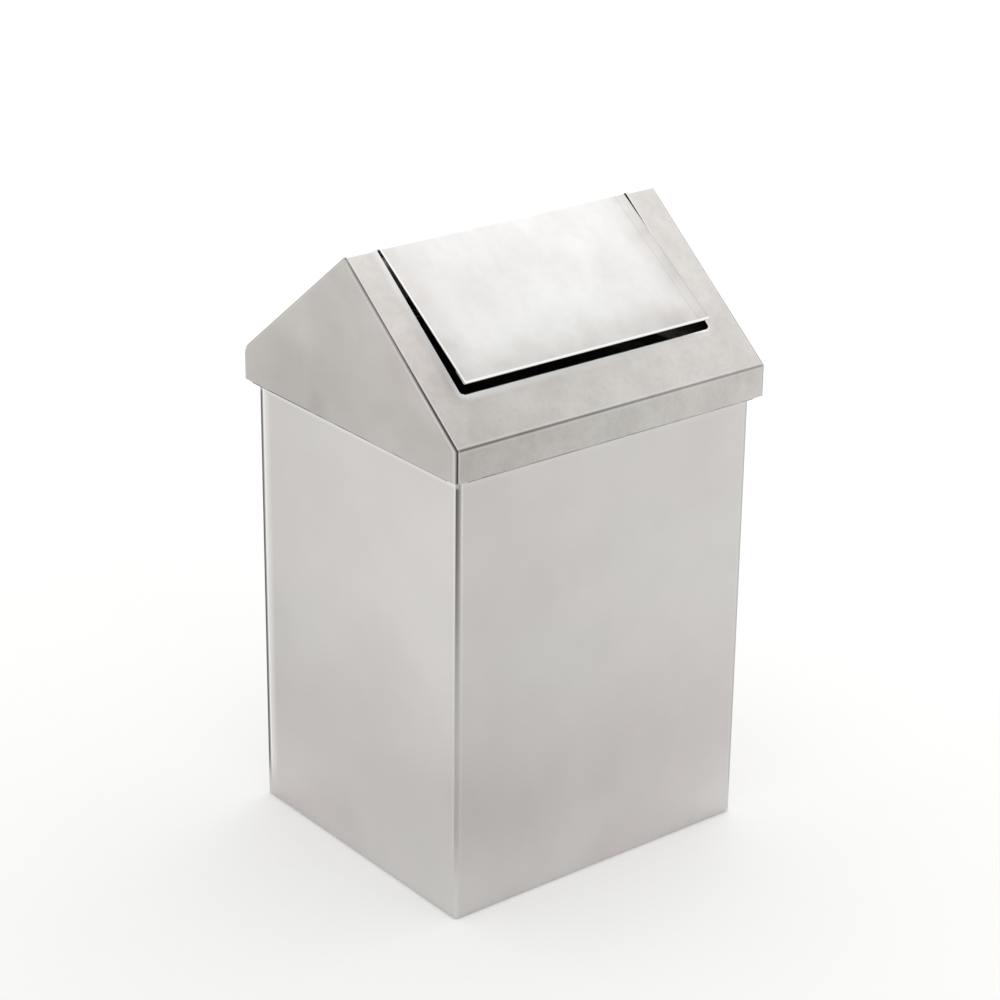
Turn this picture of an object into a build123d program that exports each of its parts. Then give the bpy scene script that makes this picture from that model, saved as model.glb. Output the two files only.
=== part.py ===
from build123d import *
import math
import os

# Countertop bin with a swing lid, in folded stainless sheet. Millimetres.
# X runs along the ridge, -Y is the front, +Z is up.
# The origin is on the counter, under the middle of the bin.

# ---- Sheet ----
SHEET = 0.6  # wall of the body, roof, gables and flap
PAN_SHEET = 0.8  # base pan
BRACKET_SHEET = 1.0  # brackets and lugs
RAIL_SHEET = 0.6  # seat rails

# ---- Bin body ----
BODY_WIDTH = 171.2
BODY_DEPTH = 154.0
BODY_HEIGHT = 232.0
BODY_BEND = 2.0  # outer radius of the four upright bends
RIM_HEM = 6.0
RIM_ROUND = 0.5  # the rim's fold is round
SEAM_LAP = 12.0  # width of the lap behind the back seam
SEAM_GAP = 0.3  # hairline between the two edges of the wrap
FOOT_PROUD = 1.0  # feet stand this far below the shell

# ---- Base and feet ----
PAN_RECESS = 8.0  # underside of the pan above the shell's lower edge
PAN_BEND = 1.3  # inside the shell's lower bends
PAN_NOTCH_GAP = 0.3  # notch round the lap strip
PAN_EDGE_GAP = 0.5  # flange ends this far above the shell's lower edge
FOOT_TOP_RADIUS = 8.0
FOOT_BOTTOM_RADIUS = 7.0
FOOT_INSET = 15.0  # foot centre from the outside of the walls
RIVET_RADIUS = 1.6
RIVET_HEAD_RADIUS = 3.2
RIVET_HEAD_HEIGHT = 1.2
RIVET_WELL_RADIUS = 4.0  # pocket in the foot for the lower head
RIVET_WELL_DEPTH = 4.0
RIVET_DOME = 1.0
FOOT_EDGE = 0.8

# ---- Hood ----
HOOD_OVERHANG = 4.9  # hood stands this far outside the body, all round
SKIRT_HEIGHT = 16.0
SKIRT_OVERLAP = 12.7  # skirt hangs this far below the bin's rim
ROOF_PITCH = 38.9
RIDGE_BEND = 1.2
FRONT_EAVE_BEND = 1.2
BACK_EAVE_BEND = 6.0
GABLE_LIP = 1.2  # gable shows this far past the roof sheet's end
GABLE_BEND = 1.1
GABLE_FLANGE = 6.0
GABLE_CORNER = 1.7  # corners of the panel at the ridge and the front eave
SKIRT_HEM = 5.0
SKIRT_HEM_DROP = 0.6  # the hemmed length hangs lower than the corners
SKIRT_HEM_END = 7.0  # hem stops this far from the hood's corners

# ---- Window ----
SIDE_BORDER = 17.9  # gable to window
LOWER_BORDER = 25.2  # eave to window, up the slope
WINDOW_CORNER = 1.6
WINDOW_HEM = 6.0
WINDOW_CUT = 3.0  # depth of the cutter each way

# ---- Seat rails ----
GUIDE_GAP = 0.8  # channel to the inside of the rim
RAIL_BEND = 0.5
RAIL_WELD_LEG = 5.0
RAIL_GUIDE_LEG = 8.0
RAIL_CORNER_GAP = 12.0  # rail ends this far from the hood's corners

# ---- Flap ----
FLAP_SIDE_GAP = 1.4
FLAP_SHORTFALL = 2.2  # each wing is this much shorter than the window
FLAP_PITCH = 35.4
FLAP_RISE = 0.2  # ridge of the flap above the ridge of the roof
FLAP_BEND = 1.2
FLAP_HEM = 7.0
HEM_ROUND = 0.5
BAR_WIDTH = 10.0
BAR_THICKNESS = 3.0
BAR_INSET = 6.5  # bar ends in from the flap's sides
BAR_HEM_GAP = 1.0
BAR_EDGE = 0.5  # eased corners

# ---- Axle ----
AXLE_DROP = 25.0  # axle below the ridge
AXLE_RADIUS = 1.5
AXLE_TAIL = 2.8  # rod past the clips
AXLE_CHAMFER = 0.4
RUNNING_GAP = 0.05  # radial, rod in bush
END_PLAY = 0.2
BUSH_WALL = 1.2
BUSH_FLANGE = 1.0
BUSH_FLANGE_RADIUS = 4.2
CLIP_RADIUS = 4.0
CLIP_THICKNESS = 0.8
CLIP_SLOT = 0.7
CLIP_SLOTS = 3
CLIP_SLOT_DEPTH = 1.3
SPACER_WALL = 1.0

# ---- Brackets and lugs ----
BRACKET_GAP = 1.6  # web outside the window's edge
BRACKET_FLANGE = 8.0
BRACKET_REACH = 32.0  # half length along the ridge's cross direction
BRACKET_CROWN = 5.0  # flat below the ridge
LUG_INSET = 9.5  # inner face of the web in from the flap's side
LUG_FLANGE = 8.0
LUG_REACH = 18.0
LUG_CROWN = 4.0
LUG_BOSS_RADIUS = 5.0

# ---- Swing stops ----
SWING_LIMIT = 75.0
STOP_MARGIN = 0.6  # degrees of air left at the limit
STOP_RADIUS = 24.6  # axle to the stop's corner
STOP_ENGAGE = 2.0  # stop reaches this far under the flap

# ---- Worked-out levels ----
BODY_BOTTOM = FOOT_PROUD
RIM = BODY_BOTTOM + BODY_HEIGHT
HOOD_WIDTH = BODY_WIDTH + 2 * HOOD_OVERHANG
HOOD_DEPTH = BODY_DEPTH + 2 * HOOD_OVERHANG
HOOD_BOTTOM = RIM - SKIRT_OVERLAP
EAVE = HOOD_BOTTOM + SKIRT_HEIGHT
ROOF_SIN = math.sin(math.radians(ROOF_PITCH))
ROOF_COS = math.cos(math.radians(ROOF_PITCH))
ROOF_TAN = math.tan(math.radians(ROOF_PITCH))
RIDGE = EAVE + HOOD_DEPTH / 2 * ROOF_TAN
SLOPE_LENGTH = HOOD_DEPTH / 2 / ROOF_COS
WINDOW_LENGTH = SLOPE_LENGTH - LOWER_BORDER
WINDOW_HALF = HOOD_WIDTH / 2 - SIDE_BORDER
FLAP_HALF = WINDOW_HALF - FLAP_SIDE_GAP
FLAP_WING = WINDOW_LENGTH - FLAP_SHORTFALL
FLAP_RIDGE = RIDGE + FLAP_RISE
FLAP_SIN = math.sin(math.radians(FLAP_PITCH))
FLAP_COS = math.cos(math.radians(FLAP_PITCH))
FLAP_TAN = math.tan(math.radians(FLAP_PITCH))
AXLE = RIDGE - AXLE_DROP
PAN_UNDERSIDE = BODY_BOTTOM + PAN_RECESS
PAN_TOP = PAN_UNDERSIDE + PAN_SHEET
BRACKET_WEB = WINDOW_HALF + BRACKET_GAP  # inner face of the bracket's web
CLIP_SEAT = BRACKET_WEB + BRACKET_SHEET + END_PLAY
AXLE_END = CLIP_SEAT + CLIP_THICKNESS + AXLE_TAIL
LUG_OFFSET = FLAP_HALF - LUG_INSET
LUG_BACK = LUG_OFFSET + BRACKET_SHEET  # outer face of the lug's web
FOOT_X = BODY_WIDTH / 2 - FOOT_INSET
FOOT_Y = BODY_DEPTH / 2 - FOOT_INSET
BUSH_RADIUS = AXLE_RADIUS + RUNNING_GAP + BUSH_WALL
# The stop's corner lies on the underside of a wing that has turned to the limit.
WING_OFFSET = (FLAP_RIDGE - AXLE) * FLAP_COS - SHEET
STOP_ANGLE = math.radians(FLAP_PITCH + SWING_LIMIT + STOP_MARGIN - 90) + math.acos(WING_OFFSET / STOP_RADIUS)
STOP_HALF = STOP_RADIUS * math.cos(STOP_ANGLE)
STOP_FOOT = AXLE - STOP_RADIUS * math.sin(STOP_ANGLE)
STOP_END = FLAP_HALF - STOP_ENGAGE
TOUCH = 0.01  # two lengths nearer than this are the same

SIDES = ((-1, "left"), (1, "right"))
ENDS = ((-1, "front"), (1, "back"))

os.makedirs("parts", exist_ok=True)


def save(part, name):
    """Label the piece and write it under its node's name."""
    part.label = name
    export_step(part, "parts/" + name + ".step")


def slope_plane(end, ridge, pitch, inset=0.0):
    """Plane on one slope, x along the ridge, y up the slope, z outwards, `inset` below the surface."""
    tilt = math.radians(pitch)
    outward = Vector(0, end * math.sin(tilt), math.cos(tilt))
    origin = Vector(0, 0, ridge) - outward * inset
    return Plane(origin=origin, x_dir=(-end, 0, 0), z_dir=outward)


def cross_plane(x):
    """Upright plane across the ridge at x, with local x along Y and local y along Z."""
    return Plane(origin=(x, 0, 0), x_dir=(0, 1, 0), z_dir=(1, 0, 0))


def roof_points(inset):
    """Corners of the hood's outline across the ridge, inset by a sheet's thickness."""
    half = HOOD_DEPTH / 2 - inset
    top = RIDGE - inset / ROOF_COS
    eave = top - half * ROOF_TAN
    return (-half, HOOD_BOTTOM), (-half, eave), (0, top), (half, eave), (half, HOOD_BOTTOM)


def roof_under(y, depth=0.0):
    """Height of the roof sheet's inner face at y, or `depth` below it."""
    return RIDGE - abs(y) * ROOF_TAN - (SHEET + depth) / ROOF_COS


def wing_under(y, depth=0.0):
    """Height of the flap's inner face at y, or `depth` below it."""
    return FLAP_RIDGE - abs(y) * FLAP_TAN - (SHEET + depth) / FLAP_COS


def axle_plane(side, distance):
    """Plane square to the axle, `distance` out from the middle and facing out."""
    return Plane(origin=(side * distance, 0, AXLE), x_dir=(0, 1, 0), z_dir=(side, 0, 0))


# ================= Bin body =================

with BuildPart() as body_shell:
    with BuildSketch(Plane.XY.offset(BODY_BOTTOM)):
        RectangleRounded(BODY_WIDTH, BODY_DEPTH, BODY_BEND)
        offset(amount=-SHEET, kind=Kind.INTERSECTION, mode=Mode.SUBTRACT)
    extrude(amount=BODY_HEIGHT)
    with BuildSketch(Plane.XY.offset(RIM)):
        RectangleRounded(BODY_WIDTH, BODY_DEPTH, BODY_BEND)
        offset(amount=-2 * SHEET, kind=Kind.INTERSECTION, mode=Mode.SUBTRACT)
    extrude(amount=-RIM_HEM)
    # Lap strip behind the back seam, up to the hem.
    with BuildSketch(Plane.XY.offset(BODY_BOTTOM)):
        with Locations((0, BODY_DEPTH / 2 - SHEET)):
            Rectangle(SEAM_LAP, SHEET, align=(Align.CENTER, Align.MAX))
    extrude(amount=BODY_HEIGHT - RIM_HEM)
    # Hairline where the two edges of the wrap meet, outside the lap.
    with BuildSketch(Plane.XY.offset(BODY_BOTTOM)):
        with Locations((SEAM_LAP / 2 - SEAM_GAP, BODY_DEPTH / 2)):
            Rectangle(SEAM_GAP, SHEET, align=(Align.CENTER, Align.MAX))
    extrude(amount=BODY_HEIGHT - RIM_HEM, mode=Mode.SUBTRACT)
    fillet(body_shell.edges().group_by(Axis.Z)[-1], radius=RIM_ROUND)
save(body_shell.part, "body_shell")

with BuildPart() as base_pan:
    with BuildSketch(Plane.XY.offset(PAN_TOP)):
        RectangleRounded(BODY_WIDTH - 2 * SHEET, BODY_DEPTH - 2 * SHEET, BODY_BEND - SHEET)
    extrude(amount=BODY_BOTTOM + PAN_EDGE_GAP - PAN_TOP)
    fillet(base_pan.edges().group_by(Axis.Z)[-1], radius=PAN_BEND)
    offset(amount=-PAN_SHEET, openings=base_pan.faces().sort_by(Axis.Z)[0])
    with Locations((0, 0, PAN_TOP)):
        with GridLocations(2 * FOOT_X, 2 * FOOT_Y, 2, 2):
            Hole(radius=RIVET_RADIUS, depth=2 * PAN_SHEET)
    # Notch round the shell's lap strip.
    with BuildSketch(Plane.XY.offset(PAN_TOP)):
        with Locations((0, BODY_DEPTH / 2 - SHEET)):
            Rectangle(SEAM_LAP + 2 * PAN_NOTCH_GAP, 2 * (PAN_BEND + PAN_NOTCH_GAP))
    extrude(amount=BODY_BOTTOM - PAN_TOP, mode=Mode.SUBTRACT)
save(base_pan.part, "base_pan")

for end, end_name in ENDS:
    for side, side_name in SIDES:
        foot_base = Plane(origin=(side * FOOT_X, end * FOOT_Y, 0))
        with BuildPart() as foot:
            with BuildSketch(foot_base):
                Circle(FOOT_BOTTOM_RADIUS)
            with BuildSketch(foot_base.offset(PAN_UNDERSIDE)):
                Circle(FOOT_TOP_RADIUS)
            loft()
            fillet(foot.edges().group_by(Axis.Z)[0], radius=FOOT_EDGE)
            with Locations(Plane(origin=foot_base.origin, z_dir=(0, 0, -1))):
                CounterBoreHole(RIVET_RADIUS, RIVET_WELL_RADIUS, RIVET_WELL_DEPTH)
        save(foot.part, "foot_" + end_name + "_" + side_name)

with BuildPart() as foot_rivets:
    with GridLocations(2 * FOOT_X, 2 * FOOT_Y, 2, 2):
        with Locations((0, 0, RIVET_WELL_DEPTH - RIVET_HEAD_HEIGHT)):
            Cylinder(RIVET_HEAD_RADIUS, RIVET_HEAD_HEIGHT, align=(Align.CENTER, Align.CENTER, Align.MIN))
        with Locations((0, 0, RIVET_WELL_DEPTH)):
            Cylinder(RIVET_RADIUS, PAN_TOP - RIVET_WELL_DEPTH, align=(Align.CENTER, Align.CENTER, Align.MIN))
        with Locations((0, 0, PAN_TOP)):
            Cylinder(RIVET_HEAD_RADIUS, RIVET_HEAD_HEIGHT, align=(Align.CENTER, Align.CENTER, Align.MIN))
    fillet(foot_rivets.edges().group_by(Axis.Z)[-1], radius=RIVET_DOME)
    fillet(foot_rivets.edges().group_by(Axis.Z)[0], radius=RIVET_DOME)
save(foot_rivets.part, "foot_rivets")

# ================= Hood =================

with BuildPart() as roof_sheet:
    with BuildSketch(cross_plane(0)):
        with BuildLine():
            outer = FilletPolyline(*roof_points(0), radius=(FRONT_EAVE_BEND, RIDGE_BEND, BACK_EAVE_BEND))
            inner = FilletPolyline(
                *roof_points(SHEET),
                radius=(FRONT_EAVE_BEND - SHEET, RIDGE_BEND - SHEET, BACK_EAVE_BEND - SHEET),
            )
            Line(outer @ 0, inner @ 0)
            Line(outer @ 1, inner @ 1)
        make_face()
    extrude(amount=HOOD_WIDTH / 2 - GABLE_LIP, both=True)
    for end, end_name in ENDS:
        # Window, square to the slope, from the lower border to the ridge.
        with BuildSketch(slope_plane(end, RIDGE, ROOF_PITCH)) as window:
            Rectangle(2 * WINDOW_HALF, WINDOW_LENGTH, align=(Align.CENTER, Align.MAX))
            fillet(window.vertices().group_by(Axis.Y)[0], radius=WINDOW_CORNER)
        extrude(amount=WINDOW_CUT, both=True, mode=Mode.SUBTRACT)
        # Hem folded back under the window's lower edge.
        with BuildSketch(slope_plane(end, RIDGE, ROOF_PITCH, SHEET)):
            with Locations((0, -WINDOW_LENGTH)):
                Rectangle(2 * (WINDOW_HALF - WINDOW_CORNER), WINDOW_HEM, align=(Align.CENTER, Align.MAX))
        extrude(amount=-SHEET)
        # Hem folded up inside the skirt, short of the hood's corners.
        with BuildSketch(Plane.XY.offset(HOOD_BOTTOM)):
            with Locations((0, end * (HOOD_DEPTH / 2 - SHEET - SHEET / 2))):
                Rectangle(HOOD_WIDTH - 2 * SKIRT_HEM_END, SHEET)
        extrude(amount=SKIRT_HEM)
    # The corners of the skirt are cut a little higher than its hem.
    with BuildSketch(Plane.XZ):
        with Locations((0, HOOD_BOTTOM)):
            with GridLocations(HOOD_WIDTH, 0, 2, 1):
                Rectangle(2 * SKIRT_HEM_END, 2 * SKIRT_HEM_DROP)
    extrude(amount=HOOD_DEPTH, both=True, mode=Mode.SUBTRACT)
save(roof_sheet.part, "roof_sheet")

for side, side_name in SIDES:
    with BuildPart() as gable:
        with BuildSketch(cross_plane(side * HOOD_WIDTH / 2)):
            with BuildLine():
                rake = FilletPolyline(
                    *roof_points(SHEET),
                    radius=(GABLE_CORNER, GABLE_CORNER, BACK_EAVE_BEND - SHEET),
                )
                Line(rake @ 0, rake @ 1)
            make_face()
        extrude(amount=-side * (GABLE_FLANGE + SHEET))
        outer_face = gable.faces().filter_by(Axis.X).sort_by(lambda f: side * f.center().X)[-1]
        fillet(outer_face.edges().group_by(Axis.Z)[1:], radius=GABLE_BEND)
        inner_face = gable.faces().filter_by(Axis.X).sort_by(lambda f: side * f.center().X)[0]
        offset(amount=-SHEET, openings=[inner_face, gable.faces().sort_by(Axis.Z)[0]])
        # Hem folded up inside the panel's lower edge.
        with BuildSketch(Plane.XY.offset(HOOD_BOTTOM)):
            with Locations((side * (HOOD_WIDTH / 2 - SHEET - SHEET / 2), 0)):
                Rectangle(SHEET, HOOD_DEPTH - 2 * SKIRT_HEM_END)
        extrude(amount=SKIRT_HEM)
    save(gable.part, "gable_" + side_name)


def channel_points(hood_half, body_half):
    """Section of a seat rail as (distance out, height): an upside-down channel over the rim."""
    out = hood_half - SHEET
    guide = body_half - 2 * SHEET - GUIDE_GAP
    back = guide - RAIL_SHEET
    top = RIM + RAIL_SHEET
    return (
        (out, top),
        (out, top - RAIL_WELD_LEG),
        (out - RAIL_SHEET, top - RAIL_WELD_LEG),
        (out - RAIL_SHEET, RIM),
        (guide, RIM),
        (guide, top - RAIL_GUIDE_LEG),
        (back, top - RAIL_GUIDE_LEG),
        (back, top),
    )


for end, end_name in ENDS:
    with BuildPart() as rail:
        with BuildSketch(cross_plane(0)):
            section = [(end * out, height) for out, height in channel_points(HOOD_DEPTH / 2, BODY_DEPTH / 2)]
            Polygon(*section, align=None)
        extrude(amount=HOOD_WIDTH / 2 - RAIL_CORNER_GAP, both=True)
        fillet(rail.edges().filter_by(Axis.X).group_by(Axis.Z)[-1], radius=RAIL_BEND)
    save(rail.part, "seat_rail_" + end_name)

for side, side_name in SIDES:
    with BuildPart() as rail:
        with BuildSketch(Plane.XZ):
            section = [(side * out, height) for out, height in channel_points(HOOD_WIDTH / 2, BODY_WIDTH / 2)]
            Polygon(*section, align=None)
        extrude(amount=HOOD_DEPTH / 2 - RAIL_CORNER_GAP, both=True)
        fillet(rail.edges().filter_by(Axis.Y).group_by(Axis.Z)[-1], radius=RAIL_BEND)
    save(rail.part, "seat_rail_" + side_name)

for side, side_name in SIDES:
    with BuildPart() as bracket:
        # Web, across the ridge.
        with BuildSketch(cross_plane(side * BRACKET_WEB)):
            Polygon(
                (-BRACKET_REACH, roof_under(BRACKET_REACH)),
                (-BRACKET_CROWN, roof_under(BRACKET_CROWN)),
                (BRACKET_CROWN, roof_under(BRACKET_CROWN)),
                (BRACKET_REACH, roof_under(BRACKET_REACH)),
                (STOP_HALF, STOP_FOOT),
                (-STOP_HALF, STOP_FOOT),
                align=None,
            )
        extrude(amount=side * BRACKET_SHEET)
        # Flanges under both slopes, bent towards the gable.
        with BuildSketch(cross_plane(side * BRACKET_WEB)):
            for end, end_name in ENDS:
                Polygon(
                    (end * BRACKET_CROWN, roof_under(BRACKET_CROWN)),
                    (end * BRACKET_REACH, roof_under(BRACKET_REACH)),
                    (end * BRACKET_REACH, roof_under(BRACKET_REACH, BRACKET_SHEET)),
                    (end * BRACKET_CROWN, roof_under(BRACKET_CROWN, BRACKET_SHEET)),
                    align=None,
                )
        extrude(amount=side * BRACKET_FLANGE)
        # Lower lip, bent in under the flap: its corners stop the swing.
        with BuildSketch(cross_plane(side * (BRACKET_WEB + BRACKET_SHEET))):
            with Locations((0, STOP_FOOT)):
                Rectangle(2 * STOP_HALF, BRACKET_SHEET, align=(Align.CENTER, Align.MIN))
        extrude(amount=-side * (BRACKET_WEB + BRACKET_SHEET - STOP_END))
        with BuildSketch(cross_plane(side * BRACKET_WEB)):
            with Locations((0, AXLE)):
                Circle(BUSH_RADIUS)
        extrude(amount=side * BRACKET_SHEET, mode=Mode.SUBTRACT)
    save(bracket.part, "axle_bracket_" + side_name)

    with BuildPart() as bush:
        with BuildSketch(axle_plane(side, BRACKET_WEB)):
            Circle(BUSH_FLANGE_RADIUS)
        extrude(amount=-BUSH_FLANGE)
        with BuildSketch(axle_plane(side, BRACKET_WEB)):
            Circle(BUSH_RADIUS)
        extrude(amount=BRACKET_SHEET)
        with BuildSketch(axle_plane(side, BRACKET_WEB - BUSH_FLANGE)):
            Circle(AXLE_RADIUS + RUNNING_GAP)
        extrude(amount=BUSH_FLANGE + BRACKET_SHEET, mode=Mode.SUBTRACT)
    save(bush.part, "axle_bush_" + side_name)

# ================= Flap =================


def wing_points(inset):
    """The bent flap's outline across the ridge: one wing's end, the ridge, the other wing's end."""
    reach = FLAP_WING * FLAP_COS - inset * FLAP_SIN
    low = FLAP_RIDGE - FLAP_WING * FLAP_SIN - inset * FLAP_COS
    return (-reach, low), (0, FLAP_RIDGE - inset / FLAP_COS), (reach, low)


with BuildPart() as flap_shell:
    with BuildSketch(cross_plane(0)):
        with BuildLine():
            outer = FilletPolyline(*wing_points(0), radius=FLAP_BEND)
            inner = FilletPolyline(*wing_points(SHEET), radius=FLAP_BEND - SHEET)
            Line(outer @ 0, inner @ 0)
            Line(outer @ 1, inner @ 1)
        make_face()
    extrude(amount=FLAP_HALF, both=True)
    for end, end_name in ENDS:
        wing = slope_plane(end, FLAP_RIDGE, FLAP_PITCH, SHEET)
        with BuildSketch(wing):
            with Locations((0, -FLAP_WING)):
                Rectangle(2 * FLAP_HALF, FLAP_HEM, align=(Align.CENTER, Align.MIN))
        extrude(amount=-SHEET)
        tip = [
            edge
            for edge in flap_shell.edges().filter_by(Axis.X)
            if abs(wing.to_local_coords(edge.center()).Y + FLAP_WING) < TOUCH
        ]
        fillet(tip, radius=HEM_ROUND)
save(flap_shell.part, "flap_shell")

for end, end_name in ENDS:
    with BuildPart() as bar:
        with BuildSketch(slope_plane(end, FLAP_RIDGE, FLAP_PITCH, SHEET)):
            with Locations((0, FLAP_HEM + BAR_HEM_GAP - FLAP_WING)):
                Rectangle(2 * (FLAP_HALF - BAR_INSET), BAR_WIDTH, align=(Align.CENTER, Align.MIN))
        extrude(amount=-BAR_THICKNESS)
        chamfer(bar.edges().filter_by(Axis.X).group_by(Axis.Z)[0], length=BAR_EDGE)
    save(bar.part, "balance_bar_" + end_name)

with BuildPart() as axle_rod:
    with BuildSketch(axle_plane(1, 0)):
        Circle(AXLE_RADIUS)
    extrude(amount=AXLE_END, both=True)
    chamfer(axle_rod.edges().filter_by(GeomType.CIRCLE), length=AXLE_CHAMFER)
save(axle_rod.part, "axle_rod")

for side, side_name in SIDES:
    with BuildPart() as lug:
        # Web, a saddle from both wings down to the boss round the axle.
        with BuildSketch(cross_plane(side * LUG_OFFSET)) as saddle:
            Polygon(
                (-LUG_REACH, wing_under(LUG_REACH)),
                (-LUG_CROWN, wing_under(LUG_CROWN)),
                (LUG_CROWN, wing_under(LUG_CROWN)),
                (LUG_REACH, wing_under(LUG_REACH)),
                align=None,
            )
            with Locations((0, AXLE)):
                Circle(LUG_BOSS_RADIUS)
            make_hull()
        extrude(amount=side * BRACKET_SHEET)
        # Flanges under both wings, bent towards the middle.
        with BuildSketch(cross_plane(side * LUG_BACK)):
            for end, end_name in ENDS:
                Polygon(
                    (end * LUG_CROWN, wing_under(LUG_CROWN)),
                    (end * LUG_REACH, wing_under(LUG_REACH)),
                    (end * LUG_REACH, wing_under(LUG_REACH, BRACKET_SHEET)),
                    (end * LUG_CROWN, wing_under(LUG_CROWN, BRACKET_SHEET)),
                    align=None,
                )
        extrude(amount=-side * LUG_FLANGE)
        with BuildSketch(axle_plane(side, LUG_OFFSET)):
            Circle(AXLE_RADIUS)
        extrude(amount=BRACKET_SHEET, mode=Mode.SUBTRACT)
    save(lug.part, "flap_lug_" + side_name)

    with BuildPart() as spacer:
        with BuildSketch(axle_plane(side, LUG_BACK)):
            Circle(AXLE_RADIUS + SPACER_WALL)
            Circle(AXLE_RADIUS, mode=Mode.SUBTRACT)
        extrude(amount=BRACKET_WEB - BUSH_FLANGE - END_PLAY - LUG_BACK)
    save(spacer.part, "axle_spacer_" + side_name)

    with BuildPart() as clip:
        with BuildSketch(axle_plane(side, CLIP_SEAT)):
            Circle(CLIP_RADIUS)
            Circle(AXLE_RADIUS, mode=Mode.SUBTRACT)
            with PolarLocations(AXLE_RADIUS, CLIP_SLOTS):
                Rectangle(2 * CLIP_SLOT_DEPTH, CLIP_SLOT, mode=Mode.SUBTRACT)
        extrude(amount=CLIP_THICKNESS)
    save(clip.part, "axle_clip_" + side_name)
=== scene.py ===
"""Countertop bin with a swing lid, dressed in its folded stainless sheet.

Inner CAD pieces keep their shape and get a finish. The sheets that show are made again as folded sheet.
Lengths are in metres. X runs along the ridge, -Y is the front, +Z is up.
"""

import math
from functools import partial

import bmesh
import bpy
import numpy as np
from bpy.props import FloatProperty, FloatVectorProperty, PointerProperty
from mathutils import Matrix, Vector


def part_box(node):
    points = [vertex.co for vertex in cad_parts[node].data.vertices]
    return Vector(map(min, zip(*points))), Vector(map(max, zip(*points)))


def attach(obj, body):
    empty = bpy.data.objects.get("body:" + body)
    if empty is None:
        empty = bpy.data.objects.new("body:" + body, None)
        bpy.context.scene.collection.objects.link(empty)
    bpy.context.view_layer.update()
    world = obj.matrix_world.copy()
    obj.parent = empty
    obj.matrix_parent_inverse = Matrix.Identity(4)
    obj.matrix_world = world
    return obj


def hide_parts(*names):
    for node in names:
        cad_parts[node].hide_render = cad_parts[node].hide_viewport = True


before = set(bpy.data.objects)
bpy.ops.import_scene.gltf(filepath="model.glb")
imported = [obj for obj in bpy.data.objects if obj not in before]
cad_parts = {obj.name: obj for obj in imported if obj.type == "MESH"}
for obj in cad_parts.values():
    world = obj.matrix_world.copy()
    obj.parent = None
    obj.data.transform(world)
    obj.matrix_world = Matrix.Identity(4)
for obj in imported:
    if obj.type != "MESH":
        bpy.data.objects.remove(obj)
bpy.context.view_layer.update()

bl_info = {
    "name": "Swing-lid bin",
    "version": (1, 0, 0),
    "blender": (4, 5, 0),
    "location": "View3D > Sidebar > Bin",
    "description": "Folded sheet, finishes and studio of a bin",
    "category": "Object",
}

MM = 0.001
TOUCH = 0.001 * MM  # points nearer than this are one point
FAR = 1.0  # off the seam

# ---- Places read from the frame ----
BODY_LOW, BODY_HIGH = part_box("body_shell")
ROOF_LOW, ROOF_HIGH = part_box("roof_sheet")
GABLE_LOW, GABLE_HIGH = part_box("gable_right")
FLAP_LOW, FLAP_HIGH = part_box("flap_shell")

BOTH = (-1, 1)  # left and right, or front and back


def linear(code):
    """Linear RGBA of a colour written as six sRGB hex digits."""
    srgb = np.array([int(code[i : i + 2], 16) for i in (0, 2, 4)]) / 255
    curve = np.where(srgb <= 0.04045, srgb / 12.92, ((srgb + 0.055) / 1.055) ** 2.4)
    return (*(float(c) for c in curve), 1.0)


# ---- Folded sheet ----
CUT_EDGE = 0.08 * MM  # ease on a cut edge
CUT_ANGLE = math.radians(40)
ROUND_STEPS = 8  # cells round a fold, bend or corner
LEG_ROWS = 2  # of a hem
FLANGE_ROWS = 3
FILL_ROWS = 3  # from a corner's arc to its square
DISH_RINGS = np.linspace(0, 0.9, 18)
LAP_GRID = (5, 40)
FLOOR_GRID = (13, 65)
PANEL_CELL = 5 * MM
PITCH_PASSES = 5  # a pitch depends on its own bend
BESIDE = np.array([0.2, 0.45, 0.7, 1.0, 1.5, 2.0, 2.6]) * MM  # rows beside a bend
SKIRT_ROWS = BESIDE[:4]  # rows above the skirt's hem
BEND_HIGHLIGHT_WIDTH = 1.3 * MM  # width of the painted highlight beside a bend
SHADE_FALL = 1.6  # a painted shade fades as 1 - t^1.6
EDGE_SHINE = 1 * MM  # a free edge has a painted highlight this far in
GRIME_AND_SHADE_REACH = 18 * MM  # grime and painted shade reach this far in over the flap
DEBURRED = 4 * MM  # the window's edge is ground matt this far out, and carries a painted highlight
CUT_SHADE = np.array([0.3, 0.8]) * MM  # the roof's left and right ends carry painted shade this far in
CUT_LINE = 1.2 * MM  # and a painted highlight up to here

# ---- Strengths of painted shade and painted highlight lines, 0 to 1 ----
# The body's upright bends: back right, front right, front left, back left.
BODY_LEAN = np.array([0.0, 0.0, 0.5, -0.25])  # where a bend is darkest, from -1 to 1 across it
BODY_REACH = np.array([0.3, 0.3, 0.0, 1.9]) * MM  # its painted shade ends this far beyond it
BODY_LINES = np.array([[0.2, 0.2], [0.2, 0.2], [0.35, 0.6], [1.0, 0.3]])  # painted highlights before it and after it
FRONT_LEFT_SHADES = ((0.29, 0.05, 0.2), (0.63, 0.35, 0.92))  # strength, and the shares of the height it sets in at
BACK_LEFT_RISE = (0.02, 0.1)
RIGHT_SHADES = (0.47, 0.43)  # back and front, as shares of the back left's
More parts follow.
